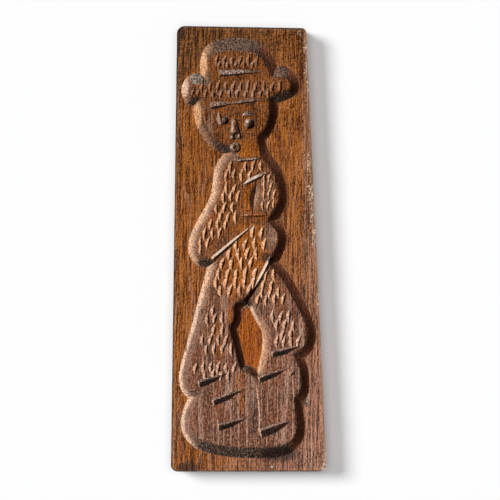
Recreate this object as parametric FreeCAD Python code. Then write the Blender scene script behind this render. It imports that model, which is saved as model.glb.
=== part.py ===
import FreeCAD, Part
import math
import os

# A carved wooden mould for speculaas: one tapering board with a man in a hat sunk into its face.
# The board lies on its back, carved face up: +X across it, +Y from foot to head, +Z out of the face.
# All sizes are in millimetres. The origin is under the middle of the foot's width and half way up.

# Board
board_length = 400.0
head_width = 116.0
foot_width = 140.0
board_thickness = 23.0
head_offset = -6.4
head_slant = 2.0
head_left_corner = 7.0
head_right_corner = 4.5
foot_left_corner = 6.0
foot_right_corner = 7.0
edge_round = 1.5

# Uncarved rim that is left round the figure, at its narrowest
side_rim = 4.5
head_rim = 11.2
foot_rim = 13.0

# Dough recess: its depth, and how far each wall lies back between the board's face and the floor.
# Walls across the grain lie back further than walls along it, and the crown's the furthest.
recess_depth = 8.0
side_wall_run = 6.8
end_wall_run = 8.2
crown_wall_run = 10.6
cuff_wall_run = 6.0
island_wall_run = 5.2

# Leaf-shaped chips, cut along the grain: the width is a share of the spacing in a row. The keel is
# the deepest line of a cut, lies at a share of the width from the left, and is level between two
# shares of the length.
chip_width_share = 0.56
chip_depth = 1.9
chip_keel_share = 0.72
chip_level_keel = (0.4, 0.64)
chip_lean = 7.0

# How far the hand strays from chip to chip: off the place, in mm, off the lean, in degrees, and off
# the length, as a share of it
hand_drift = 0.5
hand_tilt = 9.0
hand_stretch = 0.12

# Every V cut: how far its keel starts inside a blunt end, and how far its slopes go on above the
# floor before its sides stand upright, where it runs into a wall
stop_run = 1.2
knife_clearance = 0.5

# Corners closer than this are one corner, and facets flatter than this are flat
closeness = 1e-6

# Long shallow hollows at the foot of the cheek's wall and between the legs
hollow_depth = 1.2
hollow_width = 8.6

# Ridges left standing between the coat's front and the arm, and under the chin
arm_ridge_height = 3.6
arm_ridge_left_width = 5.2
arm_ridge_right_width = 4.2
chin_ridge_height = 2.0
chin_ridge_width = 7.0

# Face
left_eye_radius = 3.4
left_eye_depth = 2.9
right_eye_radius = 4.6
right_eye_depth = 3.7
left_eye_width = 8.4
brow_width = 3.6
brow_depth = 1.7
nose_bridge_width = 5.8
nose_end_width = 10.8
nose_axis_height = 2.3
nose_ball_radius = 3.7
nose_ball_sink = 0.5
mouth_radius = 4.6
mouth_depth = 2.2
mouth_ball_radius = 2.5
mouth_ball_sink = 0.5
lip_width = 2.2
lip_depth = 1.1

# The figure is laid out on a squared field inside the rims: across runs from -100 at the left rim
# to 100 at the right rim, and follows the taper, and up runs from 0 at the foot rim to 600.
field_squares = (100, 600)

face_level = board_thickness
floor_level = board_thickness - recess_depth

# Outline of the figure at the board's face, clockwise from the left root of the hat's crown. Each
# lobe is one smooth curve, from the cusp where the last one ended to its own last point.
figure_start = (-68, 549)
figure_lobes = {
    "crown": (crown_wall_run, (
        (-69, 567), (-60, 587), (-36, 598), (-3, 600), (25, 595), (45, 581), (57, 559))),
    "right curl of the brim": (end_wall_run, (
        (70, 559), (84, 551), (92, 537), (90, 523), (77, 514), (56, 507))),
    "right cheek": (end_wall_run, (
        (56, 494), (53, 480), (46, 466), (35, 454))),
    "right arm": (end_wall_run, (
        (37, 444), (43, 433), (54, 420), (62, 403), (66, 383), (65, 365), (59, 351), (51, 340))),
    "right hand": (end_wall_run, (
        (59, 330), (63, 311), (58, 294), (50, 280))),
    "right trouser leg": (end_wall_run, (
        (62, 266), (77, 240), (92, 210), (100, 184), (99, 165), (92, 151), (82, 142))),
    "right ankle": (end_wall_run, (
        (87, 128), (88, 111), (86, 92), (77, 79))),
    "shoes": (end_wall_run, (
        (79, 56), (78, 31), (66, 12), (43, 1), (9, -1), (-28, 1), (-60, 8), (-82, 21), (-92, 39),
        (-92, 61), (-83, 85))),
    "left trouser leg": (end_wall_run, (
        (-93, 96), (-97, 111), (-94, 135), (-82, 178), (-71, 221), (-62, 254), (-57, 272))),
    "left arm": (cuff_wall_run, (
        (-72, 276), (-83, 288), (-85, 307), (-77, 330), (-62, 355), (-52, 375), (-48, 397),
        (-44, 416), (-31, 434))),
    "left cheek": (end_wall_run, (
        (-48, 442), (-64, 457), (-75, 477), (-79, 494), (-79, 503))),
    "left curl of the brim": (end_wall_run, (
        (-92, 507), (-98, 519), (-98, 531), (-90, 544), (-77, 549), figure_start)),
}

# The island left standing between the legs, clockwise from its top left corner
island_start = (-8, 212)
island_lobes = {
    "top": (cuff_wall_run, ((-2, 216), (6, 214))),
    "upper right": (island_wall_run, ((14, 197), (23, 181))),
    "lower right": (island_wall_run, ((23, 161), (19, 139), (15, 122))),
    "bottom": (island_wall_run, ((7, 129), (-2, 132))),
    "lower left": (island_wall_run, ((-8, 158), (-14, 184))),
    "upper left": (island_wall_run, ((-8, 195), island_start)),
}

# Chips by garment: about how far apart they stand, how long they are, then each row's height and
# its first and last chip
chip_rows = {
    "crown": (7.6, 14.0, ((568, -42, 25),)),
    "crown, short": (7.6, 9.0, ((563, -38, 19),)),
    "brim": (6.9, 14.0, ((531, -65, 61),)),
    "brim, short": (6.9, 10.5, ((521, -72, 43), (523, -80, -80))),
    "coat": (6.9, 13.8, (
        (417, -20, -20), (417, 3, 27), (405, -26, -14), (403, -2, 10), (385, -27, -15), (373, -32, -8),
        (357, -42, -18), (344, -37, -13), (333, -51, -28), (321, -61, -38), (307, -67, -55),
        (297, -66, -66))),
    "right sleeve": (4.9, 12.0, ((400, 33, 40), (389, 31, 42), (376, 31, 48), (361, 29, 45))),
    "skirt": (8.4, 15.0, (
        (321, 12, 26), (304, -12, 30), (291, -24, 18), (277, -33, 9), (262, -40, 16), (250, -43, 13),
        (238, -36, 6))),
    "left trouser leg": (7.2, 14.2, (
        (210, -49, -49), (197, -57, -34), (182, -46, -34), (167, -64, -29), (154, -57, -22),
        (127, -74, -17), (116, -60, -26))),
    "right trouser leg": (7.5, 14.2, (
        (260, 32, 44), (245, 27, 39), (235, 24, 49), (225, 19, 56), (201, 39, 63), (188, 46, 70),
        (175, 53, 65), (165, 44, 77))),
}

# Slashes from a blunt end to a point: both ends, width, depth, and the share of the width that lies
# to the left of the keel, which is above it in a slash that starts on the left
blunt_slashes = {
    "hat band": ((-39, 548), (37, 553), 6.0, 2.8, 0.75),
    "brim": ((-53, 502), (-10, 508), 6.0, 2.8, 0.7),
    "left cuff": ((-71, 106), (-23, 122), 6.6, 3.4, 0.25),
    "left ankle": ((-51, 80), (-4, 97), 6.8, 3.6, 0.25),
    "left shoe": ((-43, 44), (0, 56), 6.8, 3.4, 0.25),
    "right cuff": ((35, 149), (81, 160), 6.4, 3.4, 0.25),
    "right ankle": ((15, 113), (60, 127), 6.6, 3.6, 0.25),
    "right heel": ((60, 118), (71, 124), 3.4, 2.0, 0.3),
    "right shoe": ((15, 36), (64, 53), 9.0, 3.8, 0.25),
    "left sleeve": ((-50, 283), (19, 338), 4.8, 2.7, 0.5),
    "coat hem": ((40, 287), (3, 222), 5.0, 2.9, 0.5),
}

# Slashes that run out to a point at both ends, in the same terms
pointed_slashes = {
    "brim": ((-18, 507), (31, 512), 3.8, 2.0, 0.65),
    "collar": ((-18, 424), (29, 428), 3.0, 2.0, 0.6),
    "lapel": ((-3, 390), (40, 409), 4.4, 2.5, 0.6),
    "right cuff": ((-7, 346), (41, 347), 4.4, 1.5, 0.6),
}

# Each kind's stations, as shares of its length, and how full it is at each
blunt_shape = ((0, 0.45, 1), (1, 0.9, 0))
pointed_shape = ((0, 0.25, 0.7, 1), (0, 1, 1, 0))

# Depth of the cheek's hollow at each point of that lobe, and the marks of the leg hollow and of the
# two ridges, each with its share of the full depth or height
cheek_hollow = (0, 0.6, 1.0, 1.0, 0.9)
leg_hollow = ((13, 105, 0.7), (15, 89, 1.0), (17, 65, 1.0), (16, 34, 0.8))
arm_ridge = ((19, 396, 0), (19, 387, 0.6), (17, 376, 1.0), (15, 366, 1.0), (13, 349, 0))
chin_ridge = ((-26, 431, 1.0), (-4, 429, 0))

# Places of the face, and its drawn strokes in the same terms as the hollows
left_eye = (-29, 483)
right_eye = (10, 478)
nose_bridge = (-14, 481)
nose_end = (-12, 457)
nose_ball = (-11, 461)
mouth = (-12, 444)
left_eye_stroke = ((-40, 497, 0), (-37, 485, 0.9), (-34, 476, 0.6))
brow_stroke = ((-2, 486, 0), (2, 492, 0.9), (7, 494, 1), (12, 493, 0.9), (17, 487, 0))
lip_stroke = ((-24, 444, 0), (-20, 447, 1), (-16, 450, 0))


def at_height(y):
    """Middle and half of the board's width at a height along it."""
    share = y / board_length + 0.5
    half = (foot_width + (head_width - foot_width) * share) / 2
    return head_offset * share, half


def on_board(place, level=0):
    """A place of the squared field as a point on the board, at a level above its back."""
    across, up = place[:2]
    columns, rows = field_squares
    y = foot_rim - board_length / 2 + up / rows * (board_length - head_rim - foot_rim)
    middle, half = at_height(y)
    return FreeCAD.Vector(middle + across / columns * (half - side_rim), y, level)


def board_blank():
    """The tapering board with its rounded corners and eased edges."""
    low, high = -board_length / 2, board_length / 2
    corners = []
    for y, side, drop in ((low, -1, 0), (low, 1, 0), (high, 1, head_slant), (high, -1, 0)):
        middle, half = at_height(y)
        corners.append(FreeCAD.Vector(middle + side * half, y - drop, 0))
    outline = Part.Face(Part.makePolygon(corners + corners[:1]))
    board = outline.extrude(FreeCAD.Vector(0, 0, board_thickness))
    radii = (foot_left_corner, foot_right_corner, head_right_corner, head_left_corner)
    for corner, radius in zip(corners, radii):
        board = board.makeFillet(radius, [edge for edge in board.Edges if stands_over(edge, corner)])
    flat = [edge for edge in board.Edges if edge.BoundBox.ZLength < board_thickness / 2]
    return board.makeFillet(edge_round, flat)


def stands_over(edge, corner):
    """Whether an edge stands upright over a corner of the outline."""
    ends = [vertex.Point for vertex in edge.Vertexes]
    return all(math.hypot(end.x - corner.x, end.y - corner.y) < 0.001 for end in ends)


def smooth_curve(points):
    """A smooth curve through points, timed by the distance between them."""
    times = [0.0]
    for before, after in zip(points, points[1:]):
        times.append(times[-1] + math.hypot(after.x - before.x, after.y - before.y))
    curve = Part.BSplineCurve()
    curve.interpolate(Points=points, Parameters=times)
    return curve, times


def mitre(first, second):
    """Where two wall feet meet under a cusp, from each wall's normal and its run."""
    (a, run_a), (b, run_b) = first, second
    cross = a.x * b.y - a.y * b.x
    if abs(cross) < 0.25:
        return (a * run_a + b * run_b) / 2
    x = (run_a * b.y - run_b * a.y) / cross
    y = (run_b * a.x - run_a * b.x) / cross
    return FreeCAD.Vector(x, y, 0)


def wall_slopes(points, side_run, end_run, inward):
    """At each point of a smooth rim, the way to the wall's foot and how far off that foot is."""
    curve, times = smooth_curve(points)
    slopes = []
    for time in times:
        along = curve.tangent(time)[0]
        normal = FreeCAD.Vector(along.y, -along.x, 0) * inward
        slopes.append((normal, side_run * normal.x ** 2 + end_run * normal.y ** 2))
    return slopes


def sloped_block(start, lobes, side_run, inward):
    """The block inside an outline, with walls that slope in, or out where inward is -1, to the floor."""
    rims, runs = [], []
    for end_run, places in lobes.values():
        points = [rims[-1][-1] if rims else on_board(start, face_level)]
        points += [on_board(place, face_level) for place in places]
        rims.append(points)
        runs.append(wall_slopes(points, side_run, end_run, inward))
    walls, rim_edges, foot_edges = [], [], []
    for index, points in enumerate(rims):
        before, here, after = runs[index - 1], runs[index], runs[(index + 1) % len(runs)]
        moves = [normal * run for normal, run in here]
        moves[0] = mitre(before[-1], here[0])
        moves[-1] = mitre(here[-1], after[0])
        down = FreeCAD.Vector(0, 0, floor_level - face_level)
        feet = [point + move + down for point, move in zip(points, moves)]
        curve, times = smooth_curve(points)
        foot_curve = Part.BSplineCurve()
        foot_curve.interpolate(Points=feet, Parameters=times)
        rim_edges.append(curve.toShape())
        foot_edges.append(foot_curve.toShape())
        walls.append(Part.makeRuledSurface(foot_edges[-1], rim_edges[-1]))
    return solid_of(walls + [Part.Face(Part.Wire(rim_edges)), Part.Face(Part.Wire(foot_edges))])


def solid_of(faces):
    """The solid that a closed set of faces bounds."""
    shell = Part.makeShell(faces)
    shell.sewShape()
    solid = Part.makeSolid(shell)
    if solid.Volume < 0:
        solid.reverse()
    return solid


def without_repeats(corners):
    """A loop of corners without those that fall on the one before."""
    pairs = zip(corners, corners[-1:] + corners[:-1])
    return [corner for corner, before in pairs if corner.distanceToPoint(before) > closeness]


def facets(corners):
    """One flat face through a loop of corners, or two triangles where four don't lie in a plane."""
    loop = without_repeats(corners)
    if len(loop) == 4:
        a, b, c, d = loop
        if abs((b - a).cross(c - a).dot(d - a)) > closeness:
            return facets([a, b, c]) + facets([a, c, d])
    return [Part.Face(Part.makePolygon(loop + loop[:1]))]


def vee(run, depths, left, right, sense=-1):
    """A V cut into the floor along a run of points, or with sense 1 a ridge that stands on it.

    A depth of the keel goes with each point. An end of no depth is a point, and another end is
    closed by a short facet. Left and right are the widths of the two sides for each mm of depth.
    A cut is open to the face above, as the knife comes from there.
    """
    last = len(run) - 1
    ahead = [(after - before).normalize() for before, after in zip(run, run[1:])]
    ways = [ahead[0]] + [(a + b).normalize() for a, b in zip(ahead, ahead[1:])] + [ahead[-1]]
    up = FreeCAD.Vector(0, 0, 1)
    lip = up * (floor_level - sense * knife_clearance)
    keels, lefts, rights = [], [], []
    for index, (point, depth, way) in enumerate(zip(run, depths, ways)):
        if depth:
            inset = {0: stop_run, last: -stop_run}.get(index, 0)
            side = up.cross(way) * (depth + knife_clearance)
            keels.append(point + way * inset + up * (floor_level + sense * depth))
            lefts.append(point + side * left + lip)
            rights.append(point - side * right + lip)
        else:
            inner = 1 if index == 0 else last - 1
            stretch = 1 + knife_clearance / depths[inner]
            tip = run[inner] + (point - run[inner]) * stretch + lip
            keels.append(tip)
            lefts.append(tip)
            rights.append(tip)
    ring = without_repeats(lefts + rights[::-1])
    faces = facets([keels[0], lefts[0], rights[0]]) if depths[0] else []
    faces += facets([keels[last], lefts[last], rights[last]]) if depths[last] else []
    for sides in (lefts, rights):
        for index in range(last):
            faces += facets([keels[index], keels[index + 1], sides[index + 1], sides[index]])
    if sense > 0:
        return solid_of(faces + facets(ring))
    sky = [point + up * recess_depth for point in ring]
    for index in range(len(ring)):
        faces += facets([ring[index - 1], ring[index], sky[index], sky[index - 1]])
    return solid_of(faces + facets(sky))


def stroke(marks, depth, left_width, right_width, sense=-1):
    """A V cut or ridge through marks of the field, each with its share of the full depth."""
    run = [on_board(mark) for mark in marks]
    return vee(run, [mark[2] * depth for mark in marks], left_width / depth, right_width / depth, sense)


def between(start, end, shares):
    """Points at shares of the way from start to end."""
    return [start + (end - start) * share for share in shares]


def wander(number, habit):
    """A value from -1 to 1 that strays from number to number, in another way for each habit."""
    return math.sin(number * (3.1 + 2.3 * habit) + habit)


def chip(middle, length, width, number):
    """One leaf-shaped chip, cut by hand: each is a little off its row, its lean and its length."""
    shift = FreeCAD.Vector(wander(number, 1), wander(number, 2), 0) * hand_drift
    lean = math.radians(chip_lean + hand_tilt * wander(number, 3))
    way = FreeCAD.Vector(math.sin(lean), math.cos(lean), 0)
    reach = way * (length / 2 * (1 + hand_stretch * wander(number, 0)))
    run = between(middle + shift - reach, middle + shift + reach, (0, *chip_level_keel, 1))
    left = width * chip_keel_share / chip_depth
    right = width * (1 - chip_keel_share) / chip_depth
    return vee(run, (0, chip_depth, chip_depth, 0), left, right)


def chips():
    """All chips, row by row."""
    cuts = []
    for spacing, length, rows in chip_rows.values():
        for up, first, last in rows:
            start, end = on_board((first, up)), on_board((last, up))
            gaps = round(start.distanceToPoint(end) / spacing)
            shares = [step / max(gaps, 1) for step in range(gaps + 1)]
            for middle in between(start, end, shares):
                cuts.append(chip(middle, length, spacing * chip_width_share, len(cuts)))
    return cuts


def slashes():
    """The straight V cuts that draw the hat's band, the brim, the folds, the cuffs and the shoes."""
    cuts = []
    for kind, (shares, fullness) in ((blunt_slashes, blunt_shape), (pointed_slashes, pointed_shape)):
        for start, end, width, depth, above in kind.values():
            run = between(on_board(start), on_board(end), shares)
            left, right = width * above / depth, width * (1 - above) / depth
            cuts.append(vee(run, [depth * full for full in fullness], left, right))
    return cuts


def hollows():
    """The hollow that carries the cheek's wall on below the floor, and the one that parts the legs."""
    end_run, places = figure_lobes["left cheek"]
    cheek = [on_board(place) for place in places]
    slope = side_wall_run / recess_depth
    run, depths = [], []
    for point, (normal, wall_run), share in zip(
        cheek, wall_slopes(cheek, side_wall_run, end_run, 1), cheek_hollow
    ):
        depths.append(share * hollow_depth)
        run.append(point + normal * (wall_run + slope * (depths[-1] + knife_clearance)))
    return [
        vee(run, depths, slope, hollow_width / hollow_depth),
        stroke(leg_hollow, hollow_depth, hollow_width, slope * hollow_depth),
    ]


def ridges():
    """The ridge between the coat's front and the arm, and the one under the chin."""
    half = chin_ridge_width / 2
    return [
        stroke(arm_ridge, arm_ridge_height, arm_ridge_right_width, arm_ridge_left_width, sense=1),
        stroke(chin_ridge, chin_ridge_height, half, half, sense=1),
    ]


def pit(place, radius, depth):
    """A round pit of a given radius and depth in the floor."""
    ball_radius = (radius ** 2 + depth ** 2) / (2 * depth)
    return Part.makeSphere(ball_radius, on_board(place, floor_level - depth + ball_radius))


def nose_hollow():
    """The nose: a level cone with its axis above the floor, round at the bridge and cut off at its end."""
    axis_level = floor_level + nose_axis_height
    bridge, end = on_board(nose_bridge, axis_level), on_board(nose_end, axis_level)
    bridge_radius = math.hypot(nose_bridge_width / 2, nose_axis_height)
    end_radius = math.hypot(nose_end_width / 2, nose_axis_height)
    cone = Part.makeCone(bridge_radius, end_radius, bridge.distanceToPoint(end), bridge, end - bridge)
    return cone.fuse(Part.makeSphere(bridge_radius, bridge))


def face_cuts():
    """Eyes, brow, nose and mouth."""
    return [
        pit(left_eye, left_eye_radius, left_eye_depth),
        pit(right_eye, right_eye_radius, right_eye_depth),
        pit(mouth, mouth_radius, mouth_depth),
        stroke(left_eye_stroke, left_eye_depth, left_eye_width / 2, left_eye_width / 2),
        stroke(brow_stroke, brow_depth, brow_width / 2, brow_width / 2),
        stroke(lip_stroke, lip_depth, lip_width / 2, lip_width / 2),
        nose_hollow(),
    ]


def face_balls():
    """The small balls of wood left standing in the end of the nose and in the mouth."""
    nose_level = floor_level - nose_ball_sink - nose_ball_radius
    mouth_level = floor_level - mouth_ball_sink - mouth_ball_radius
    return [
        Part.makeSphere(nose_ball_radius, on_board(nose_ball, nose_level)),
        Part.makeSphere(mouth_ball_radius, on_board(mouth, mouth_level)),
    ]


def mould_board():
    """The whole mould: the board less the recess, with what is left standing in it, and every cut."""
    recess = sloped_block(figure_start, figure_lobes, side_wall_run, 1)
    island = sloped_block(island_start, island_lobes, island_wall_run, -1)
    board = board_blank().cut(recess.cut([island] + ridges()))
    return board.cut(hollows() + slashes() + face_cuts() + chips()).fuse(face_balls())


os.makedirs("parts", exist_ok=True)
mould_board().exportStep("parts/mould_board.step")
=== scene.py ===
import math

import bmesh
import bpy
import numpy as np
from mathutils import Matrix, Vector, noise
from mathutils.bvhtree import BVHTree
from mathutils.geometry import delaunay_2d_cdt


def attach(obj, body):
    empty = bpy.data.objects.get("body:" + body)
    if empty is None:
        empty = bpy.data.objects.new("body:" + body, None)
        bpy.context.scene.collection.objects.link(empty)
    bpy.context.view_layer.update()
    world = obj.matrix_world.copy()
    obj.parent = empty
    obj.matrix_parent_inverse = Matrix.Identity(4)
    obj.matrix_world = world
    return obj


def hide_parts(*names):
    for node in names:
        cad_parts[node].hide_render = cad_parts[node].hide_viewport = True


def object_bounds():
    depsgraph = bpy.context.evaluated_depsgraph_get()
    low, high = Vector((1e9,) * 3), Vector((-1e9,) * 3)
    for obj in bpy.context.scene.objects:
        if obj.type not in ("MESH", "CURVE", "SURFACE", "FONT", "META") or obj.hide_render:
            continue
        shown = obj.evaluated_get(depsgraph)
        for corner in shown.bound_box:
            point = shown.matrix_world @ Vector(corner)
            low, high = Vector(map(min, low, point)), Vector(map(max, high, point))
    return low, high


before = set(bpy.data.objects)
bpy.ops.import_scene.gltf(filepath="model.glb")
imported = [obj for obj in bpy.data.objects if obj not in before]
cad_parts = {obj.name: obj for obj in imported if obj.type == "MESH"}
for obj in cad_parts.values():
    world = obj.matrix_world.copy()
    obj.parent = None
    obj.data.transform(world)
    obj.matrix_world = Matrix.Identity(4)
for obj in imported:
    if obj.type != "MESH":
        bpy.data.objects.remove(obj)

# Looks of a carved wooden speculaas mould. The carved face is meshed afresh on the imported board:
# its creases are kept, edges are softened as by wear, and the surface between is made fine enough
# to carry plane marks and gouge marks. Lengths are metres, in the frame's own axes. The material
# works in millimetres, and what was read off the photograph is given in its pixels.
cad_box = [list(corner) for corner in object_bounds()]
mm = 0.001
face_level = cad_box[1][2]
recess_level = face_level - 8.0 * mm

# Cells of the mesh: sizes, then how unevenly they lie and how far inside a ring they begin, in cells
recess_cell = 0.72 * mm
margin_cell = 1.3 * mm
rim_cell = 1.2 * mm
back_cell = 5.0 * mm
cell_jitter = 0.3
cell_clearance = 0.5
face_seed = 4
back_seed = 9

# How far inside the outline the face and the back end, least fold of a crease that is kept, and
# least fold that is shaded as sharp
rim_inset = 3.2 * mm
crease_angle = math.radians(12)
sharp_angle = math.radians(40)

# Tolerances: the grid that CAD corners snap to, in millimetres; the least length of a normal; the
# differences in level and in depth that are overlooked; and the distance at which corners are joined
snap = 0.001
least_normal = 1e-15
level_tolerance = 0.02 * mm
depth_tolerance = 0.01 * mm
triangulation_tolerance = 1e-4
weld_distance = 0.004 * mm

# Discs over which the carved face is averaged, how many places are felt round one, and how strongly
# hollows and the feet of walls are rounded
carve_radius = 0.2 * mm
rim_radius = 0.65 * mm
proud_radius = 1.6 * mm
scoop_radius = 2.4 * mm
few_steps, steps, many_steps = 4, 6, 8
hollow_softness = 0.75
scoop_softness = 0.8

# Depths below the face between which rims are rounded, and between which gouge marks take over
rim_depths = (2.2 * mm, 0.4 * mm)
gouged_depths = (3 * mm, 7 * mm)

# Tool marks and wear: depth, then size across and along the grain with a seed
plane_depth, plane_marks = 0.10 * mm, (14 * mm, 60 * mm, 1)
gouge_depth, gouge_marks = 0.16 * mm, (4.5 * mm, 16 * mm, 2)
nick_depth, nick_marks = 0.10 * mm, (2.2 * mm, 5 * mm, 3)
saw_depth, saw_marks = 0.12 * mm, (3 * mm, 7 * mm, 7)
edge_waves = (9 * mm, 22 * mm, 5)
edge_nicks = (2.5 * mm, 5 * mm, 6)
seed_step_across, seed_step_along = 7.3, 3.1

# Outer edges: least radius, how much more it is where they are worn, the share of that on the left,
# what the right side adds to it, the share on the back, and where the right side begins and is full
edge_radius = 1.5 * mm
edge_wear = 1.3 * mm
left_wear, right_wear, back_wear = 0.35, 0.65, 0.4
right_side = (0.02, 0.05)

# Rings round the edge: angles of a rounded edge's rings, steps down the side, how far the first ring
# lies lower, and how proud all of them count, in millimetres
quarter_angles = (0, 15, 32, 50, 70, 90)
side_steps = 6
first_ring_drop = 0.05 * mm
edge_proud = 0.3

# Photograph: pixels across, the size of a pixel, and where the board's middle lies in it; camera:
# height above the face, and how far it sees
photo_pixels = 500
photo_scale = 0.896 * mm
board_middle_pixel = (248.75, 248.75)
camera_height = 1.8
camera_reach = 20

# Marks read off the photograph, in its pixels: middle across and down, reach across and down
# Stains; those at the top-left corner and by the right foot are painted shade
stains_and_painted_shade = [
    (304, 290, 1.6, 7), (292, 65, 2, 2), (178, 32, 8, 11), (279, 454, 24, 10), (313, 300, 1.2, 8),
    (307, 402, 4, 6), (317, 322, 1.2, 9), (202, 312, 1.2, 4), (186, 345, 1.2, 10), (266, 257, 7, 5),
    (188, 468, 13, 8), (178, 42, 3, 16),
]
bare_spots = [
    (307, 51, 2, 8), (308, 86, 2, 8), (310, 163, 2, 5), (309, 187, 3, 4), (311, 199, 3, 9),
    (313, 240, 2, 8), (318, 300, 2, 9), (322, 354, 2, 9), (308, 400, 2, 6), (325, 462, 3, 12),
    (246, 438, 1.6, 1.6), (272, 467, 1.6, 1.6), (310.6, 455, 0.9, 17), (309, 165, 2.5, 14),
    (311, 192, 3, 12), (312, 215, 2.5, 12), (314, 236, 2.5, 10), (300, 33, 3, 3), (304.5, 46, 2, 8),
    (305.5, 68, 2, 12), (323, 470, 6, 4),
]

# Painted shade on the balls of the eyes, mouth and nose, painted highlights in the face, the slashes that
# slant, with painted light and shade, the whole face, whose pits get painted shade, the belt and the island
# between the legs, in the same terms
painted_eyeball_shade = [
    (225.5, 121, 4.5, 4.5), (250.5, 123.5, 5.0, 5.0), (235.5, 147, 3.5, 3.5), (233.5, 133.5, 5.5, 2.4),
]
painted_highlights = [
    (247.2, 120.4, 2.2, 2.4), (246, 113.8, 4.0, 1.8), (233.3, 122, 1.6, 2.2), (231.2, 146.5, 1.4, 2.6),
]
slanting_slashes = [
    (203, 257, 12, 11), (217, 249, 13, 11), (231, 238, 13, 11), (246, 227, 12, 10), (256, 279, 9, 13),
    (262, 266, 8, 13), (268, 256, 8, 9), (250, 180, 15, 9),
]
features_spot = (240, 118, 38, 40)
belt_spot = (261, 215.5, 22, 5)
island_spot = (248, 340, 22, 44)

# The shares of an ellipse's reach at which its mark begins and at which it is full
spot_fade = (1.1, 0.5)

# Sizes of the grain's noises in millimetres, across and along the board, and how finely each is
# broken up; then the same for the small pits in the face
grain_sizes = {
    "bands": (9.0, 220.0, 2.0), "lines": (1.7, 60.0, 2.0), "streaks": (3.2, 45.0, 2.0),
    "fibres": (1.25, 18.0, 2.0), "flecks": (1.1, 3.5, 1.0), "patches": (13.0, 22.0, 3.0),
    "speck": (1.3, 1.5, 1.0),
}
pit_size = (2.0, 1.3, 2.0)
noise_roughness = 0.55

# How much each noise weighs in the grain's colour and in its relief, the relief's strength and depth
# in metres, the grain's values between the dark and the light lines, and the gloss
face_grain = {
    "bands": 0.7, "lines": 1.4, "streaks": 0.8, "fibres": 2.6, "flecks": 1.5, "speck": 1.2, "patches": 0.7,
}
recess_grain = {"bands": 0.4, "lines": 0.8, "fibres": 0.9, "flecks": 0.9, "speck": 2.0, "patches": 0.7}
relief = {"lines": 0.7, "fibres": 1.1, "flecks": 0.6, "speck": 0.8}
relief_strength, relief_depth = 1.0, 0.0012
grain_range = (-0.1, 1.1)
gloss = 0.14
roughness_swing, least_roughness = 0.3, 0.17

# Thin lines along the grain: the noise's size as above, how far from its middle value a line ends,
# and the share of that within which it is full
face_lines = ((7.0, 120.0, 1.0), 0.035)
recess_lines = ((8.0, 200.0, 1.0), 0.045)
line_core = 0.3

# Each of these tables gives two values: where a look begins, and where it is full.
# Heights above the back, in millimetres
levels = {
    "carved": (10.0, 12.0), "cut": (15.1, 14.6), "recess": (21.6, 20.4), "face": (21.0, 22.0),
    "wall top": (17.5, 24.0), "trouser wall top": (19.9, 23.1), "bare specks": (16.0, 21.0),
}

# Places along the board, in millimetres from its middle towards the hat, the ends towards both
stretches = {
    "head margin": (150.0, 200.0), "pitted head": (90.0, 150.0), "lined margin": (190.0, 110.0),
    "right strip": (-70.0, 0.0), "legs": (110.0, -20.0), "lined legs": (-10.0, -70.0),
    "shoes": (-85.0, -115.0), "hat's walls": (66.0, 90.0), "legs' walls": (-25.0, -60.0),
    "painted shade on the left edge": (70.0, 120.0), "painted shade on the ends": (190.0, 196.0),
}
ends_middle = 1.0

# Places across the board, in millimetres from its middle to the right
widths = {
    "head margin": (45.0, 5.0), "right strip": (51.0, 53.0), "painted shade on the left edge": (-40.0, -55.0),
    "brown right edge": (35.0, 50.0),
}

# Distances in from the board's outline, in millimetres, which a noise moves for the last two
edge_reaches = {"walls": (4.0, 5.0), "painted shade on the edge": (1.0, -0.6), "brown right edge": (1.6, -0.6)}

# How far the surface stands above what lies round it, in millimetres
prouds = {"worn": (0.08, 0.45), "sunken": (-0.15, -0.8)}

# Parts of the surface's normal, or a difference or product of them
facings = {
    "upright": (0.975, 0.90), "right": (-0.12, 0.12), "headward": (-0.12, 0.12),
    "end grain": (0.05, 0.35), "slanting": (-0.04, -0.12), "down and right": (-0.1, 0.1),
}

# How far a place counts as in a cut, from 0 to 1
out_of_cuts = (0.5, 0.0)

# The noise that makes a kind of mark, then the two values
marks = {
    "broken lines": ("flecks", 0.32, 0.5), "pores": ("flecks", 0.62, 0.74),
    "ragged patches": ("patches", 0.2, 0.5), "ragged stains": ("speck", 0.25, 0.5),
    "reddish rings": ("bands", 0.52, 0.60), "sooty specks": ("speck", 0.50, 0.36),
    "dusty specks": ("speck", 0.58, 0.70), "painted lit specks": ("speck", 0.60, 0.70),
    "dark specks": ("speck", 0.42, 0.32), "bare specks": ("speck", 0.50, 0.60),
}

# How far a noise moves a height, a place or an edge, in millimetres
wavers = {
    "head margin": ("patches", 60.0), "right strip": ("streaks", 6.0), "legs": ("patches", 130.0),
    "wall top": ("patches", 5.0), "trouser wall top": ("patches", 3.0), "edge": ("patches", -2.4),
}

# The painted sheen, a greyer pink towards the lower right: its value in the board's middle and its growth a
# millimetre across and along.
# Then how much the head margin's tint and the pits have everywhere, and gain on the left and at the head,
# and how the darkening of hollows changes in cuts.
sheen_plane = (-0.087, 0.0086, -0.0031)
head_everywhere, head_gain_left = 0.4, 0.6
pits_everywhere, pits_gain_at_head = 0.8, 1.6
hollow_darkening_gain_in_cuts = -0.85

# Speckle of a wall's colour: its growth with the noise, its start and the least share of colour kept
coarse_grit = (6.0, -2.0, 0.12)
fine_grit = (3.2, -0.6, 0.25)

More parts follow.
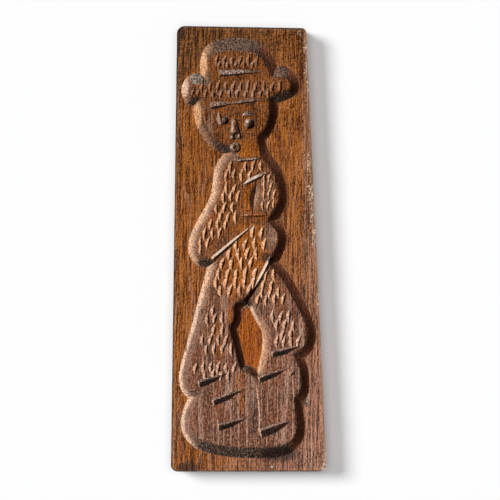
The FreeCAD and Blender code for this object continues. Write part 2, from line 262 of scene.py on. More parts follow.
# Colours of the grain's dark and light lines, by place
tints = {
    "varnished": ((0.085, 0.018, 0.0015, 1), (0.42, 0.130, 0.018, 1)),
    # A greyer pink that is painted sheen, laid on towards the lower right
    "painted_sheen": ((0.080, 0.032, 0.018, 1), (0.38, 0.170, 0.108, 1)),
    "head margin": ((0.050, 0.016, 0.004, 1), (0.29, 0.105, 0.024, 1)),
    "right strip": ((0.090, 0.028, 0.008, 1), (0.38, 0.170, 0.080, 1)),
    "island": ((0.170, 0.034, 0.001, 1), (0.42, 0.098, 0.002, 1)),
    "hat and face": ((0.050, 0.014, 0.002, 1), (0.34, 0.105, 0.020, 1)),
    # The legs' grey is partly the wood's and partly painted sheen
    "legs": ((0.070, 0.026, 0.012, 1), (0.29, 0.115, 0.060, 1)),
    "red shoes": ((0.066, 0.018, 0.006, 1), (0.30, 0.088, 0.029, 1)),
    "rubbed": ((0.150, 0.034, 0.001, 1), (0.54, 0.150, 0.004, 1)),
    # The last two tints are painted: a grey-pink sheen, then shade for pits and hollows
    "painted_grey_sheen": ((0.160, 0.080, 0.050, 1), (0.46, 0.250, 0.165, 1)),
    "painted_pit_shade": ((0.020, 0.012, 0.008, 1), (0.11, 0.070, 0.052, 1)),
}
reddish_share = 0.8

# Colours of the walls: first at the foot and then at the top, or as the comment beside them says. They paint
# light and shade by the way each wall faces: pale on walls facing right, shaded on walls facing left, black
# on end grain facing the head, and the slanting pair on slashes.
wall_tints = {
    "pale": ((0.20, 0.092, 0.050, 1), (0.66, 0.40, 0.25, 1)),
    "painted light in the hat": ((0.12, 0.060, 0.034, 1), (0.34, 0.175, 0.098, 1)),
    "painted light in the legs": ((0.20, 0.105, 0.068, 1), (0.66, 0.44, 0.32, 1)),
    "painted_shade": ((0.060, 0.022, 0.012, 1), (0.25, 0.088, 0.042, 1)),
    "painted light in chips": ((0.66, 0.335, 0.17, 1), (0.34, 0.142, 0.062, 1)),  # body, then hat
    "painted_end_grain_shade": ((0.080, 0.048, 0.034, 1), (0.024, 0.017, 0.014, 1)),  # recess's walls, then cuts
    # The slanting pair is painted shade, then painted light
    "slanting": ((0.030, 0.018, 0.013, 1), (0.70, 0.55, 0.45, 1)),  # up and left, then down and right
}
legs_share = 0.9
painted_slash_share = 0.8
rough_end_grain = (0.125, 0.074, 0.050, 1)

# Colours laid over others, and the share that each takes
overlays = {
    "lines on the face": ((0.46, 0.23, 0.13, 1), 0.45),
    "lines in the recess": ((0.50, 0.31, 0.23, 1), 0.5),
    "pores": ((0.040, 0.014, 0.004, 1), 0.55),
    "sooty specks": ((0.062, 0.021, 0.009, 1), 0.62),
    "dusty specks": ((0.42, 0.25, 0.18, 1), 0.35),
    "painted lit specks": ((0.38, 0.27, 0.21, 1), 0.6),
    "dark specks": ((0.020, 0.012, 0.009, 1), 0.5),
    "painted light on the legs' chips": ((0.52, 0.30, 0.21, 1), 0.8),
    "dimmed painted light in the features": ((0.36, 0.22, 0.15, 1), 1.0),
    "painted shade on rough in the features": ((0.17, 0.105, 0.070, 1), 1.0),
    "painted light on rough in cuts": ((0.28, 0.19, 0.15, 1), 1.0),
    "rough at the belt": ((0.26, 0.070, 0.010, 1), 0.9),
    "black at the belt": ((0.10, 0.030, 0.006, 1), 0.9),
    "painted_eyeball_shade": ((0.030, 0.016, 0.010, 1), 0.85),
    "painted_highlights": ((0.72, 0.56, 0.46, 1), 0.6),
    "worn rims and painted highlights": ((0.54, 0.30, 0.16, 1), 0.3),
    "hollow_darkening": ((0.026, 0.014, 0.010, 1), 0.65),
    "stains_and_painted_shade": ((0.022, 0.013, 0.010, 1), 0.8),
    "painted shade on the edge": ((0.030, 0.017, 0.012, 1), 0.75),
    "brown right edge": ((0.13, 0.060, 0.034, 1), 0.6),
    "bare specks": ((0.68, 0.52, 0.40, 1), 0.75),
}

# Patches of the recess with a colour of their own, in the photograph's pixels, then its share. Those in the
# grey-pink tint are painted sheen, and those in the darkest tint are painted shade in the eyes, nose, mouth,
# beside the island and between the feet.
recess_patches = [
    (250, 150, 17, 13, "rubbed", 0.8), (250, 197, 8, 18, "rubbed", 0.7), (248, 256, 25, 36, "rubbed", 0.85),
    (233, 280, 17, 24, "rubbed", 0.75), (220, 340, 9, 27, "rubbed", 0.4), (232, 318, 8, 15, "rubbed", 0.5),
    (280, 372, 13, 17, "red shoes", 0.8), (222, 418, 14, 15, "red shoes", 0.8),
    (280, 418, 13, 15, "red shoes", 0.7), (248, 230, 20, 7, "rubbed", 0.8), (241, 392, 9, 24, "rubbed", 0.6),
    (262, 216, 14, 3, "rubbed", 0.6), (246, 118, 8, 16, "rubbed", 0.35), (270, 236, 9, 18, "painted_grey_sheen", 0.8),
    (267, 192, 9, 26, "painted_grey_sheen", 0.6), (210, 124, 4, 28, "painted_grey_sheen", 0.6), (233, 157, 8, 6, "painted_grey_sheen", 0.9),
    (254, 412, 5, 32, "painted_pit_shade", 0.6), (235.5, 130, 6, 10, "painted_pit_shade", 0.55), (234.5, 147, 6, 5, "painted_pit_shade", 0.65),
    (224, 120, 3, 4, "painted_pit_shade", 0.7), (250, 124, 5, 4, "painted_pit_shade", 0.6), (258, 314, 7, 11, "painted_pit_shade", 0.5),
]

# Patches of the walls in the same terms, with the colour itself: hat, legs, chips and end grain. The first
# three change the painted light on walls that face right; the last changes the end grain that faces the
# feet.
hat_patches = [
    (203, 64, 5, 15, (0.72, 0.38, 0.19, 1), 0.85), (197, 116, 5, 17, (0.66, 0.34, 0.17, 1), 0.85),
    (184, 87, 5, 12, (0.70, 0.46, 0.33, 1), 0.85),
]
leg_patches = [
    (262, 345, 8, 32, (0.46, 0.23, 0.125, 1), 0.7), (257, 405, 5, 45, (0.34, 0.15, 0.06, 1), 0.8),
]
chip_patches = [(233, 96, 60, 7, (0.31, 0.135, 0.064, 1), 0.7)]
end_grain_patches = [
    (192, 82, 15, 12, (0.25, 0.19, 0.145, 1), 1.0), (274, 78, 18, 12, (0.15, 0.085, 0.055, 1), 1.0),
]

# Studio: white, the floor that the board lies on, and how strongly the world lights
white = (1, 1, 1, 1)
floor_half_width = 4.0
floor_paint = (0.89, 0.893, 0.895, 1)
floor_roughness = 0.9
world_strength = 0.06


def cad_surface(node):
    """Corners and triangles of a CAD node, with the corners that share a place joined."""
    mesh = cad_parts[node].data
    mesh.calc_loop_triangles()
    places = np.array([vertex.co[:] for vertex in mesh.vertices])
    grid, index = np.unique(np.round(places / (snap * mm)), axis=0, return_inverse=True)
    triangles = index.ravel()[np.array([loop.vertices[:] for loop in mesh.loop_triangles])]
    return grid * snap * mm, triangles


def creases(places, triangles):
    """Edges of the carved face where it turns by more than the crease angle."""
    a, b, c = (places[triangles[:, k]] for k in range(3))
    normals = np.cross(b - a, c - a)
    normals /= np.maximum(np.linalg.norm(normals, axis=1), least_normal)[:, None]
    sides = {}
    for number, corners in enumerate(triangles):
        for k in range(3):
            edge = tuple(sorted((int(corners[k]), int(corners[(k + 1) % 3]))))
            sides.setdefault(edge, []).append(number)
    flat = math.cos(crease_angle)
    found = []
    for edge, faces in sides.items():
        folded = len(faces) != 2 or normals[faces[0]] @ normals[faces[1]] < flat
        if folded and min(places[edge[0]][2], places[edge[1]][2]) > face_level / 2:
            found.append(edge)
    return found


def outline(places):
    """The board's outline, read where its upright sides begin and stepped evenly."""
    sides_begin = np.abs(places[:, 2] - edge_radius) < level_tolerance
    ring = places[sides_begin][:, :2]
    ring = ring[np.argsort(np.arctan2(ring[:, 1] / 2, ring[:, 0]))]
    closed = np.vstack([ring, ring[:1]])
    lengths = np.concatenate([[0], np.cumsum(np.linalg.norm(np.diff(closed, axis=0), axis=1))])
    count = round(lengths[-1] / rim_cell)
    stops = np.linspace(0, lengths[-1], count, endpoint=False)
    return np.stack([np.interp(stops, lengths, closed[:, k]) for k in range(2)], axis=1)


def outward(ring):
    """Unit normals of a closed ring of points that runs anticlockwise."""
    along = np.roll(ring, -2, axis=0) - np.roll(ring, 2, axis=0)
    normals = np.stack([along[:, 1], -along[:, 0]], axis=1)
    return normals / np.linalg.norm(normals, axis=1)[:, None]


def ripple(x, y, z, size_x, size_y, seed):
    """Smooth noise from -1 to 1, stretched to a size across and along the grain."""
    shifted_x = x / size_x + seed * seed_step_across
    shifted_y = y / size_y - seed * seed_step_along
    return noise.noise(Vector((shifted_x, shifted_y, z / size_x + seed)))


def smoothstep(low, high, value):
    """0 at low, 1 at high, level beyond them and smooth between."""
    share = min(max((value - low) / (high - low), 0.0), 1.0)
    return share * share * (3 - 2 * share)


def carved_height(tree, x, y, radius, count=steps, lowest=0.0):
    """Mean height of the carved face in a small disc, where lower places count as the lowest."""
    total = 0.0
    turns = [(0.0, 0.0)]
    for k in range(count):
        angle = math.tau * k / count
        turns.append((radius * math.cos(angle), radius * math.sin(angle)))
    hits = 0
    for dx, dy in turns:
        place = tree.ray_cast(Vector((x + dx, y + dy, 2 * face_level)), Vector((0, 0, -1)))[0]
        if place is not None:
            total += max(place.z, lowest)
            hits += 1
    return total / hits if hits else face_level


def worn_height(tree, x, y):
    """Height of the carved face with its rim and its hollows rounded and its surface a little uneven."""
    sharp = carved_height(tree, x, y, carve_radius)
    soft = carved_height(tree, x, y, rim_radius)
    scooped = carved_height(tree, x, y, scoop_radius, many_steps, recess_level)
    rim = smoothstep(face_level - rim_depths[0], face_level - rim_depths[1], soft)
    height = sharp + (soft - sharp) * (hollow_softness if soft > sharp else rim)
    floor = smoothstep(face_level - gouged_depths[0], face_level - gouged_depths[1], soft)
    planed = plane_depth * (1 + ripple(x, y, 0, *plane_marks))
    gouged = gouge_depth * ripple(x, y, 0, *gouge_marks) + nick_depth * ripple(x, y, 0, *nick_marks)
    scoop = scoop_softness * max(scooped - max(sharp, recess_level), 0.0)
    return height + scoop - planed * (1 - floor) + gouged * floor


def grid_inside(ring, cell, random):
    """The points of a slightly uneven grid that lie inside a ring."""
    low, high = ring.min(axis=0), ring.max(axis=0)
    across, along = np.meshgrid(np.arange(low[0], high[0], cell), np.arange(low[1], high[1], cell))
    grid = np.stack([across.ravel(), along.ravel()], axis=1)
    grid += random.uniform(-cell_jitter, cell_jitter, grid.shape) * cell
    return grid[inside(grid, ring, outward(ring), cell_clearance * cell)]


def near_recess(tree, grid, reach):
    """Which points lie in the recess or within reach of it."""
    highest = face_level - depth_tolerance
    return np.array([carved_height(tree, x, y, reach, few_steps) < highest for x, y in grid])


def triangulated(points, wanted):
    """Flat points and wanted edges as a triangulation, whose places are in millimetres."""
    scaled = [Vector(point / mm) for point in points]
    found, _, faces, *_ = delaunay_2d_cdt(scaled, wanted, [], 0, triangulation_tolerance, False)
    return found, faces


def face_mesh(tree, ring, places, edges):
    """The carved face inside a ring: its places, its triangles and how far each place stands proud."""
    random = np.random.default_rng(face_seed)
    used = sorted({corner for edge in edges for corner in edge})
    number = {corner: k for k, corner in enumerate(used)}
    fine = grid_inside(ring, recess_cell, random)
    coarse = grid_inside(ring, margin_cell, random)
    fine = fine[near_recess(tree, fine, margin_cell)]
    coarse = coarse[~near_recess(tree, coarse, margin_cell)]
    corners = places[used][:, :2]
    kept_corners = inside(corners, ring, outward(ring), 0.0)
    points = np.vstack([ring, corners, fine, coarse])
    count = len(ring)
    wanted = [(k, (k + 1) % count) for k in range(count)]
    for a, b in edges:
        if kept_corners[number[a]] and kept_corners[number[b]]:
            wanted.append((count + number[a], count + number[b]))
    kept = np.concatenate([np.ones(count, bool), kept_corners, np.ones(len(fine) + len(coarse), bool)])
    renumber = np.cumsum(kept) - 1
    wanted = [(int(renumber[a]), int(renumber[b])) for a, b in wanted]
    found, faces = triangulated(points[kept], wanted)
    found = [point * mm for point in found]
    heights = [worn_height(tree, point.x, point.y) for point in found]
    proud = [
        (height - carved_height(tree, point.x, point.y, proud_radius, many_steps)) / mm
        for point, height in zip(found, heights)
    ]
    return [(point.x, point.y, height) for point, height in zip(found, heights)], faces, proud


def inside(points, ring, normals, margin):
    """Which points lie inside a convex ring by more than a margin."""
    keep = np.ones(len(points), bool)
    for corner, normal in zip(ring, normals):
        keep &= (points - corner) @ normal < -margin
    return keep


def edge_distance(vertices, ring, normals):
    """How far each place lies inside the board's outline, in millimetres."""
    flat = np.array(vertices)[:, :2]
    distance = np.full(len(flat), np.inf)
    for corner, normal in zip(ring, normals):
        distance = np.minimum(distance, (corner - flat) @ normal)
    return np.maximum(distance, 0.0) / mm


def edge_rings(ring, normals):
    """Rings of places from the face round the worn outer edge, down the side and under."""
    rings = []
    quarter = [math.radians(angle) for angle in quarter_angles]
    for part in range(len(quarter) + side_steps - 1 + len(quarter)):
        places = []
        for (x, y), (nx, ny) in zip(ring, normals):
            waves, nicks = ripple(x, y, 0, *edge_waves), ripple(x, y, 0, *edge_nicks)
            worn = 0.5 + 0.5 * waves + 0.5 * nicks
            right = smoothstep(*right_side, x)
            top_radius = edge_radius + edge_wear * max(worn, 0) * (left_wear + right_wear * right)
            foot_radius = edge_radius + back_wear * edge_wear * max(worn, 0)
            if part < len(quarter):
                inset = top_radius * (1 - math.sin(quarter[part]))
                z = face_level - top_radius * (1 - math.cos(quarter[part]))
            elif part < len(quarter) + side_steps - 1:
                share = (part - len(quarter) + 1) / side_steps
                inset = 0.0
                z = face_level - top_radius - share * (face_level - top_radius - foot_radius)
            else:
                angle = quarter[len(quarter) + side_steps + len(quarter) - 2 - part]
                inset = foot_radius * (1 - math.sin(angle))
                z = foot_radius * (1 - math.cos(angle))
            sawn = saw_depth * (1 + ripple(x, y, z, *saw_marks))
            drop = first_ring_drop if part == 0 else 0.0
            places.append((x - nx * (inset + sawn), y - ny * (inset + sawn), max(z - drop, 0.0)))
        rings.append(places)
    return rings


def back_mesh(ring):
    """The plain flat back inside a ring."""
    grid = grid_inside(ring, back_cell, np.random.default_rng(back_seed))
    wanted = [(k, (k + 1) % len(ring)) for k in range(len(ring))]
    found, faces = triangulated(np.vstack([ring, grid]), wanted)
    return [(point.x * mm, point.y * mm, 0.0) for point in found], [face[::-1] for face in faces]


def board_piece():
    """The whole board as one fine closed mesh that stands for the CAD node."""
    places, triangles = cad_surface("mould_board")
    tree = BVHTree.FromPolygons([tuple(place) for place in places], [tuple(map(int, t)) for t in triangles])
    ring = outline(places)
    normals = outward(ring)
    inner_ring = ring - normals * rim_inset
    vertices, faces, proud = face_mesh(tree, inner_ring, places, creases(places, triangles))
    count = len(ring)
    rings = [[(x, y, worn_height(tree, x, y)) for x, y in inner_ring]]
    rings += edge_rings(ring, normals)
    rings.append([(x, y, 0.0) for x, y in inner_ring])
    for upper, lower in zip(rings, rings[1:]):
        start = len(vertices)
        vertices += upper + lower
        proud += [edge_proud] * (2 * count)
        for k in range(count):
            after = (k + 1) % count
            faces.append((start + k, start + count + k, start + count + after, start + after))
    start = len(vertices)
    back_vertices, back_faces = back_mesh(inner_ring)
    vertices += back_vertices
    proud += [0.0] * len(back_vertices)
    faces += [tuple(start + corner for corner in face) for face in back_faces]
    mesh = bpy.data.meshes.new("speculaas_mould")
    mesh.from_pydata(vertices, [], faces)
    rim = edge_distance(vertices, ring, normals)
    for name, values in (("proud", proud), ("rim", rim)):
        mesh.attributes.new(name, "FLOAT", "POINT").data.foreach_set("value", values)
    piece = bpy.data.objects.new("speculaas_mould", mesh)
    bpy.context.scene.collection.objects.link(piece)
    weld(mesh)
    mesh.set_sharp_from_angle(angle=sharp_angle)
    return piece


def weld(mesh):
    """Joins the corners that the parts of a mesh share, and turns its faces outward."""
    work = bmesh.new()
    work.from_mesh(mesh)
    bmesh.ops.remove_doubles(work, verts=work.verts, dist=weld_distance)
    bmesh.ops.recalc_face_normals(work, faces=work.faces)
    for face in work.faces:
        face.smooth = True
    work.to_mesh(mesh)
    work.free()


class Shader:
    """A material's node tree, with one call a node."""

    def __init__(self, name):
        self.material = bpy.data.materials.new(name)
        self.material.use_nodes = True
        self.tree = self.material.node_tree
        self.tree.nodes.clear()

    def add(self, kind, inputs, **settings):
        """A node with its settings, and its inputs linked where they are given another node's output."""
        node = self.tree.nodes.new(kind)
        for name, value in settings.items():
            setattr(node, name, value)
        for name, value in inputs.items():
            socket = node.inputs[name]
            if isinstance(value, bpy.types.NodeSocket):
                self.tree.links.new(value, socket)
            else:
                socket.default_value = value
        return node

    def number(self, operation, first, second=0.0, third=0.0):
        """One sum on up to three numbers."""
        return self.add("ShaderNodeMath", {0: first, 1: second, 2: third}, operation=operation).outputs[0]

    def times(self, first, second):
        """The product of two numbers."""
        return self.number("MULTIPLY", first, second)

    def between(self, value, low, high):
        """0 at low, 1 at high, level beyond them and smooth between."""
        inputs = {"Value": value, "From Min": low, "From Max": high}
        node = self.add("ShaderNodeMapRange", inputs, interpolation_type="SMOOTHSTEP")
        return node.outputs["Result"]

    def marked(self, noises, name):
        """Where a noise makes the marks of that name."""
        source, low, high = marks[name]
        return self.between(noises[source], low, high)

    def wavering(self, noises, name, value):
        """A height, place or edge that a noise moves."""
        source, swing = wavers[name]
        return self.number("MULTIPLY_ADD", noises[source], swing, value)

    def noise(self, place, across, along, detail):
        """Noise from 0 to 1 with a size across and along the grain, in millimetres."""
        size = (1 / across, 1 / along, 1 / across)
        scaled = self.add("ShaderNodeVectorMath", {0: place, 1: size}, operation="MULTIPLY").outputs[0]
        inputs = {"Vector": scaled, "Scale": 1.0, "Detail": detail, "Roughness": noise_roughness}
        return self.add("ShaderNodeTexNoise", inputs).outputs["Fac"]

    def grain(self, noises, weights, start=0.5):
        """A start value and each noise's swing about its middle of one half, times its weight."""
        total = start - 0.5 * sum(weights.values())
        for name, weight in weights.items():
            total = self.number("MULTIPLY_ADD", noises[name], weight, total)
        return total

    def plane(self, xyz, start, per_x, per_y):
        """A value that grows evenly across and along the board."""
        return self.number("MULTIPLY_ADD", xyz[0], per_x, self.number("MULTIPLY_ADD", xyz[1], per_y, start))

    def spot(self, place, x, y, reach_x, reach_y):
        """1 in an ellipse on the face, given in the photograph's pixels, and 0 outside it."""
        across = (x - board_middle_pixel[0]) * photo_scale
        along = (board_middle_pixel[1] - y) * photo_scale
        centre = (across / mm, along / mm, 0.0)
        size = (mm / (reach_x * photo_scale), mm / (reach_y * photo_scale), 0.0)
        away = self.add("ShaderNodeVectorMath", {0: place, 1: centre}, operation="SUBTRACT").outputs[0]
        away = self.add("ShaderNodeVectorMath", {0: away, 1: size}, operation="MULTIPLY").outputs[0]
        length = self.add("ShaderNodeVectorMath", {0: away}, operation="LENGTH").outputs["Value"]
        return self.between(length, *spot_fade)

    def spots(self, place, ellipses):
        """The strongest of several spots."""
        total = 0.0
        for ellipse in ellipses:
            total = self.number("MAXIMUM", total, self.spot(place, *ellipse))
        return total

    def mix(self, share, first, second, weight=1.0):
        """Two colours mixed by a share, which a weight can lower."""
        if weight != 1.0:
            share = self.times(share, weight)
        inputs = {0: share, 6: first, 7: second}
        return self.add("ShaderNodeMix", inputs, data_type="RGBA", blend_type="MIX").outputs[2]

    def patched(self, place, colour, patches):
        """A colour with each patch's own colour laid over it in turn."""
        for *ellipse, patch, weight in patches:
            colour = self.mix(self.spot(place, *ellipse), colour, patch, weight)
        return colour

    def scale(self, colour, factor):
        """A colour or place times a number."""
        return self.add("ShaderNodeVectorMath", {0: colour, "Scale": factor}, operation="SCALE").outputs[0]


def wood_material():
    """Old oiled wood: streaked grain, side walls painted pale or shaded by the way they face, dark end
    grain, darker hollows, worn edges with a painted highlight, and painted sheen.
    """
    shader = Shader("old_oiled_wood")
    coordinates = shader.add("ShaderNodeTexCoord", {}).outputs["Object"]
    place = shader.scale(coordinates, 1 / mm)
    xyz = shader.add("ShaderNodeSeparateXYZ", {0: place}).outputs
    normal = shader.add("ShaderNodeNewGeometry", {}).outputs["True Normal"]
    turned = shader.add("ShaderNodeSeparateXYZ", {0: normal}).outputs
    proud = shader.add("ShaderNodeAttribute", {}, attribute_name="proud").outputs["Fac"]
    rim = shader.add("ShaderNodeAttribute", {}, attribute_name="rim").outputs["Fac"]
    noises = {name: shader.noise(place, *size) for name, size in grain_sizes.items()}
    low = shader.between(xyz[2], *levels["cut"])

    margins = face_colour(shader, place, xyz, noises)
    recess = recess_colour(shader, place, xyz, noises)
    flat = shader.mix(shader.between(xyz[2], *levels["recess"]), margins, recess)
    walls = wall_colour(shader, place, xyz, turned, noises, low)
    upright = shader.between(shader.number("ABSOLUTE", turned[2]), *facings["upright"])
    upright = shader.times(upright, shader.between(xyz[2], *levels["carved"]))
    inward = shader.between(rim, *edge_reaches["walls"])
    colour = shader.mix(shader.times(upright, inward), flat, walls)
    colour = weathered_and_painted(shader, place, xyz, noises, proud, rim, low, colour)

    height = shader.grain(noises, relief, 0.0)
    inputs = {"Height": height, "Strength": relief_strength, "Distance": relief_depth}
    bump = shader.add("ShaderNodeBump", inputs)
    inputs = {
        "Base Color": colour,
        "Roughness": shader.number("MULTIPLY_ADD", noises["patches"], roughness_swing, least_roughness),
        "Normal": bump.outputs[0],
        "Specular IOR Level": gloss,
    }
    surface = shader.add("ShaderNodeBsdfPrincipled", inputs)
    shader.add("ShaderNodeOutputMaterial", {"Surface": surface.outputs[0]})
    return shader.material


def thin_lines(shader, place, noises, size, width):
    """Thin broken lines along the grain, where a stretched noise crosses its middle."""
    crossing = shader.noise(place, *size)
    away = shader.number("ABSOLUTE", shader.number("SUBTRACT", crossing, 0.5))
    line = shader.between(away, width, line_core * width)
    return shader.times(line, shader.marked(noises, "broken lines"))


def face_colour(shader, place, xyz, noises):
    """Margins and island: orange varnish, darker at the head, and a painted sheen of greyer pink towards the
    lower right.
    """
    dark, light = tints["varnished"]
    headward = shader.between(shader.wavering(noises, "head margin", xyz[1]), *stretches["head margin"])
    leftward = shader.between(xyz[0], *widths["head margin"])
    leftward = shader.number("MULTIPLY_ADD", leftward, head_gain_left, head_everywhere)
    island = shader.spot(place, *island_spot)
    zones = [
        # Painted sheen towards the lower right
        ("painted_sheen", shader.between(shader.plane(xyz, *sheen_plane), 0.0, 1.0)),
        ("head margin", shader.times(headward, leftward)),
        ("right strip", right_strip(shader, xyz, noises)),
        ("island", island),
    ]
    for name, share in zones:
        dark = shader.mix(share, dark, tints[name][0])
        light = shader.mix(share, light, tints[name][1])
    colour = shader.mix(shader.between(shader.grain(noises, face_grain), *grain_range), dark, light)
    pitted = shader.number("SUBTRACT", shader.noise(place, *pit_size), 0.5)
    pitting = shader.between(xyz[1], *stretches["pitted head"])
    pitting = shader.number("MULTIPLY_ADD", pitting, pits_gain_at_head, pits_everywhere)
    colour = shader.scale(colour, shader.number("MULTIPLY_ADD", pitted, pitting, 1.0))
    lines = thin_lines(shader, place, noises, *face_lines)
    lines = shader.times(lines, shader.between(xyz[1], *stretches["lined margin"]))
    lines = shader.times(lines, shader.number("SUBTRACT", 1.0, island))
    colour = shader.mix(lines, colour, *overlays["lines on the face"])
    return shader.mix(shader.marked(noises, "pores"), colour, *overlays["pores"])


def right_strip(shader, xyz, noises):
    """The redder strip of growth rings along the right side, and how far down it runs."""
    across = shader.wavering(noises, "right strip", xyz[0])
    strip = shader.between(across, *widths["right strip"])
    return shader.times(strip, shader.between(xyz[1], *stretches["right strip"]))


def recess_colour(shader, place, xyz, noises):
    """Floor of the recess: orange where it was rubbed, greyer and stippled on the legs and shoes, the grey
    partly painted sheen, with patches of painted sheen and painted shade.
    """
    dark, light = tints["hat and face"]
    footward = shader.between(shader.wavering(noises, "legs", xyz[1]), *stretches["legs"])
    reddish = shader.times(footward, shader.marked(noises, "reddish rings"))
    ragged = shader.marked(noises, "ragged patches")
    layers = [(footward, "legs", 1.0), (reddish, "red shoes", reddish_share)]
    for *ellipse, name, strength in recess_patches:
        layers.append((shader.times(shader.spot(place, *ellipse), ragged), name, strength))
    for share, name, strength in layers:
        dark = shader.mix(share, dark, tints[name][0], strength)
        light = shader.mix(share, light, tints[name][1], strength)
    colour = shader.mix(shader.between(shader.grain(noises, recess_grain), *grain_range), dark, light)
    shod = shader.between(xyz[1], *stretches["shoes"])
    for name in ("sooty specks", "dusty specks"):
        colour = shader.mix(shader.times(shod, shader.marked(noises, name)), colour, *overlays[name])
    lines = thin_lines(shader, place, noises, *recess_lines)
    lines = shader.times(lines, shader.between(xyz[1], *stretches["lined legs"]))
    return shader.mix(lines, colour, *overlays["lines in the recess"])


def gritty(shader, noises, growth, start, least):
    """The share of its colour that a wall keeps from speck to speck."""
    kept = shader.number("MULTIPLY_ADD", noises["speck"], growth, start)
    return shader.number("MAXIMUM", kept, least)


def wall_colour(shader, place, xyz, turned, noises, low):
    """Cut walls, with painted light and shade by the way they face: pale to the right, red-brown to the
    left, rough end grain facing the feet and painted shade on end grain facing the head.
    """
    hat = shader.between(xyz[1], *stretches["hat's walls"])
    legs = shader.between(xyz[1], *stretches["legs' walls"])
    top = shader.between(shader.wavering(noises, "wall top", xyz[2]), *levels["wall top"])
    trouser_top = shader.wavering(noises, "trouser wall top", xyz[2])
    trouser_top = shader.between(trouser_top, *levels["trouser wall top"])
    # The pale tints and their patches are painted light on walls that face right; the shaded tint is painted
    # shade on walls that face left.
    painted_lit_hat = shader.patched(place, shader.mix(top, *wall_tints["painted light in the hat"]), hat_patches)
    pale = shader.mix(hat, shader.mix(top, *wall_tints["pale"]), painted_lit_hat)
    pale = shader.mix(legs, pale, shader.mix(trouser_top, *wall_tints["painted light in the legs"]), legs_share)
    pale = shader.patched(place, pale, leg_patches)
    painted_lit_chips = shader.mix(hat, *wall_tints["painted light in chips"])
    painted_lit_chips = shader.mix(legs, painted_lit_chips, *overlays["painted light on the legs' chips"])
    pale = shader.mix(low, pale, shader.patched(place, painted_lit_chips, chip_patches))
    painted_shade = shader.mix(top, *wall_tints["painted_shade"])
    # Rough end grain faces the feet and is lit with painted light in cuts; its black copy is painted shade
    # on end grain that faces the head.
    rough = shader.patched(place, rough_end_grain, end_grain_patches)
    rough = shader.mix(low, rough, *overlays["painted light on rough in cuts"])
    painted_end_grain_shade = shader.mix(low, *wall_tints["painted_end_grain_shade"])

    # The walls in the face's features are darker, painted shade, and the belt is rubbed
    features = shader.times(shader.spot(place, *features_spot), low)
    pale = shader.mix(features, pale, *overlays["dimmed painted light in the features"])
    rough = shader.mix(features, rough, *overlays["painted shade on rough in the features"])
    belt = shader.spot(place, *belt_spot)
    rough = shader.mix(belt, rough, *overlays["rough at the belt"])
    painted_end_grain_shade = shader.mix(belt, painted_end_grain_shade, *overlays["black at the belt"])

    fine = gritty(shader, noises, *fine_grit)
    pale, painted_shade = shader.scale(pale, fine), shader.scale(painted_shade, fine)
    coarse = gritty(shader, noises, *coarse_grit)
    rough, painted_end_grain_shade = shader.scale(rough, coarse), shader.scale(painted_end_grain_shade, coarse)
    # Pale specks on end grain that faces the head, outside the cuts, are painted highlights.
    specks = shader.times(shader.marked(noises, "painted lit specks"), shader.between(low, *out_of_cuts))
    painted_end_grain_shade = shader.mix(specks, painted_end_grain_shade, *overlays["painted lit specks"])
    grey = shader.mix(shader.marked(noises, "dark specks"), rough, *overlays["dark specks"])
    rough = shader.mix(low, grey, rough)

    # Slanting slashes: painted light, whitish, on the side that looks down and right, and painted shade,
    # black, on the other
    sideways = shader.mix(shader.between(turned[0], *facings["right"]), painted_shade, pale)
    lengthways = shader.mix(shader.between(turned[1], *facings["headward"]), rough, painted_end_grain_shade)
    steepness = [shader.number("ABSOLUTE", turned[k]) for k in (1, 0)]
    slant = shader.number("SUBTRACT", *steepness)
    walls = shader.mix(shader.between(slant, *facings["end grain"]), sideways, lengthways)
    facing = shader.number("SUBTRACT", turned[0], turned[1])
    painted_slash_light = shader.mix(shader.between(facing, *facings["down and right"]), *wall_tints["slanting"])
    crossing = shader.between(shader.times(turned[0], turned[1]), *facings["slanting"])
    crossing = shader.times(shader.times(crossing, low), shader.spots(place, slanting_slashes))
    walls = shader.mix(crossing, walls, painted_slash_light, painted_slash_share)
    # Painted shade on the balls of the eyes, mouth and nose, and painted highlights in the face
    walls = shader.mix(shader.spots(place, painted_eyeball_shade), walls, *overlays["painted_eyeball_shade"])
    return shader.mix(shader.spots(place, painted_highlights), walls, *overlays["painted_highlights"])


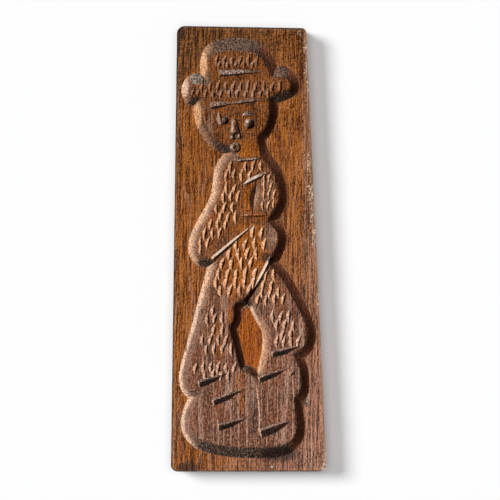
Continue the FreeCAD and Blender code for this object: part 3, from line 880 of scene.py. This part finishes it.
def weathered_and_painted(shader, place, xyz, noises, proud, rim, low, colour):
    """Wear, stains and painted light: rims lighter as worn and with a painted highlight, hollows and corners
    darker, stains of which a few are painted shade, painted shade along the outer edge, and bare specks.
    """
    # Proud rims at the face are lighter: wear, and a painted highlight
    high = shader.between(xyz[2], *levels["face"])
    worn = shader.times(shader.between(proud, *prouds["worn"]), high)
    colour = shader.mix(worn, colour, *overlays["worn rims and painted highlights"])
    # Hollows and the feet of walls are darker, less so in cuts
    darkening_kept = shader.number("MULTIPLY_ADD", low, hollow_darkening_gain_in_cuts, 1.0)
    hollow_darkening = shader.times(shader.between(proud, *prouds["sunken"]), darkening_kept)
    colour = shader.mix(hollow_darkening, colour, *overlays["hollow_darkening"])
    stained = shader.times(shader.spots(place, stains_and_painted_shade), shader.marked(noises, "ragged stains"))
    colour = shader.mix(stained, colour, *overlays["stains_and_painted_shade"])

    # Painted shade along the left edge by the head and along both ends
    edge = shader.wavering(noises, "edge", rim)
    leftward = shader.between(xyz[0], *widths["painted shade on the left edge"])
    leftward = shader.times(leftward, shader.between(xyz[1], *stretches["painted shade on the left edge"]))
    endward = shader.number("ABSOLUTE", shader.number("SUBTRACT", xyz[1], ends_middle))
    endward = shader.between(endward, *stretches["painted shade on the ends"])
    painted_edge_shade = shader.number("MAXIMUM", leftward, endward)
    painted_edge_shade = shader.times(painted_edge_shade, shader.between(edge, *edge_reaches["painted shade on the edge"]))
    colour = shader.mix(painted_edge_shade, colour, *overlays["painted shade on the edge"])
    rightward = shader.between(xyz[0], *widths["brown right edge"])
    rightward = shader.times(rightward, shader.between(edge, *edge_reaches["brown right edge"]))
    colour = shader.mix(rightward, colour, *overlays["brown right edge"])
    bare = shader.times(shader.spots(place, bare_spots), shader.marked(noises, "bare specks"))
    bare = shader.times(bare, shader.between(xyz[2], *levels["bare specks"]))
    return shader.mix(bare, colour, *overlays["bare specks"])


def plain_material(name, colour, roughness):
    """One colour all over."""
    shader = Shader(name)
    surface = shader.add("ShaderNodeBsdfPrincipled", {"Base Color": colour, "Roughness": roughness})
    shader.add("ShaderNodeOutputMaterial", {"Surface": surface.outputs[0]})
    return shader.material


def floor_plane():
    """The pale floor that the board lies on."""
    half = floor_half_width
    mesh = bpy.data.meshes.new("floor")
    corners = [(-half, -half, 0), (half, -half, 0), (half, half, 0), (-half, half, 0)]
    mesh.from_pydata(corners, [], [(0, 1, 2, 3)])
    floor = bpy.data.objects.new("floor", mesh)
    bpy.context.scene.collection.objects.link(floor)
    mesh.materials.append(plain_material("pale_floor", floor_paint, floor_roughness))
    return floor


def area_light(name, place, size, power, receivers):
    """A square soft light that looks at the board and lights only the given objects."""
    light = bpy.data.lights.new(name, "AREA")
    light.size = size
    light.energy = power
    aim(name, light, place, receivers)


def distant_light(name, place, spread, strength, receivers):
    """A light from far off, equally strong all over, that lights only the given objects."""
    light = bpy.data.lights.new(name, "SUN")
    light.angle = math.radians(spread)
    light.energy = strength
    aim(name, light, place, receivers)


def aim(name, light, place, receivers):
    """Puts a light in its place, turned to the board, and links it to what it lights."""
    lamp = bpy.data.objects.new(name, light)
    lamp.location = place
    lamp.rotation_euler = Vector(place).to_track_quat("Z", "Y").to_euler()
    bpy.context.scene.collection.objects.link(lamp)
    group = bpy.data.collections.new(name + "_receivers")
    for receiver in receivers:
        group.objects.link(receiver)
    lamp.light_linking.receiver_collection = group


def studio(board, floor):
    """Key light from the lower right as the carving shows, and the floor's own from the upper left."""
    area_light("key", place=(1.05, -0.42, 1.12), size=0.3, power=36.5, receivers=[board])
    distant_light("floor_key", place=(-1.5, 0.6, 1.45), spread=24, strength=2.75, receivers=[floor])
    distant_light("floor_fill", place=(0.0, 0.0, 1.9), spread=45, strength=1.45, receivers=[floor])
    world = bpy.data.worlds.new("studio")
    world.use_nodes = True
    tree = world.node_tree
    tree.nodes.clear()
    path = tree.nodes.new("ShaderNodeLightPath")
    fill = tree.nodes.new("ShaderNodeBackground")
    fill.inputs["Color"].default_value = white
    fill.inputs["Strength"].default_value = world_strength
    seen = tree.nodes.new("ShaderNodeBackground")
    seen.inputs["Color"].default_value = white
    mix = tree.nodes.new("ShaderNodeMixShader")
    output = tree.nodes.new("ShaderNodeOutputWorld")
    tree.links.new(path.outputs["Is Camera Ray"], mix.inputs[0])
    tree.links.new(fill.outputs[0], mix.inputs[1])
    tree.links.new(seen.outputs[0], mix.inputs[2])
    tree.links.new(mix.outputs[0], output.inputs["Surface"])
    bpy.context.scene.world = world


def photo_camera():
    """A camera straight above, framed as the photograph."""
    middle = photo_pixels / 2
    across = (middle - board_middle_pixel[0]) * photo_scale
    along = (board_middle_pixel[1] - middle) * photo_scale
    camera = bpy.data.objects.new("camera", bpy.data.cameras.new("camera"))
    camera.location = (across, along, face_level + camera_height)
    camera.data.lens = camera.data.sensor_width * camera_height / (photo_pixels * photo_scale)
    camera.data.clip_end = camera_reach
    bpy.context.scene.collection.objects.link(camera)
    bpy.context.scene.camera = camera


board = board_piece()
board.data.materials.append(wood_material())
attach(board, "root")
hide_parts("mould_board")
floor = floor_plane()
studio(board, floor)
photo_camera()
bpy.context.scene.view_settings.view_transform = "Standard"
